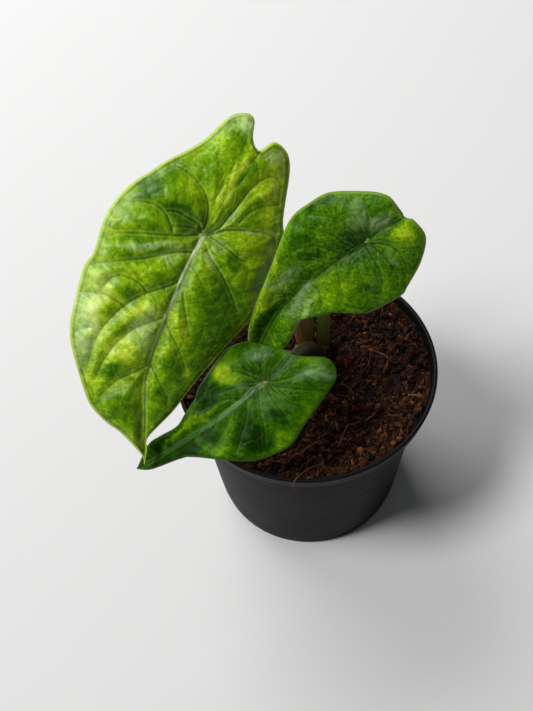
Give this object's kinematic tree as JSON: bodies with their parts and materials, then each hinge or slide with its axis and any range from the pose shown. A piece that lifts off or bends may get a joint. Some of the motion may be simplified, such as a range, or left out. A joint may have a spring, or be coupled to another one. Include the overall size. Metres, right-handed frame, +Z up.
{
  "type": "potted alocasia scalprum",
  "caption": "Young variegated Alocasia scalprum with quilted, shield-shaped leaves on slender stalks, rising from coir in a black nursery pot.",
  "frame": {"origin": "centre of the pot's underside, on the pot's axis", "axes": "+Z up the pot's axis; the plant leans out towards -X and -Y, and -Y is the side it is seen from"},
  "size_m": [0.132, 0.1019, 0.1712],
  "materials": {
    "leaf_lime": "satin, variegated lime and green",
    "leaf_mid_green": "satin, mottled green",
    "leaf_deep_green": "satin, deep green",
    "stalk": "smooth, pale green",
    "dry_sheath": "dry, brown, papery",
    "rhizome_bark": "dull olive brown",
    "coir": "rough red-brown crumbs and fibres",
    "black_plastic": "satin black"
  },
  "bodies": {
    "root": {"leaf_large": "leaf_lime", "leaf_right": "leaf_mid_green", "leaf_front": "leaf_deep_green", "stalk_large": "stalk", "stalk_right": "stalk", "stalk_front": "stalk", "papery_sheath": "dry_sheath", "rhizome": "rhizome_bark", "soil": "coir", "pot": "black_plastic"}
  },
  "joints": []
}
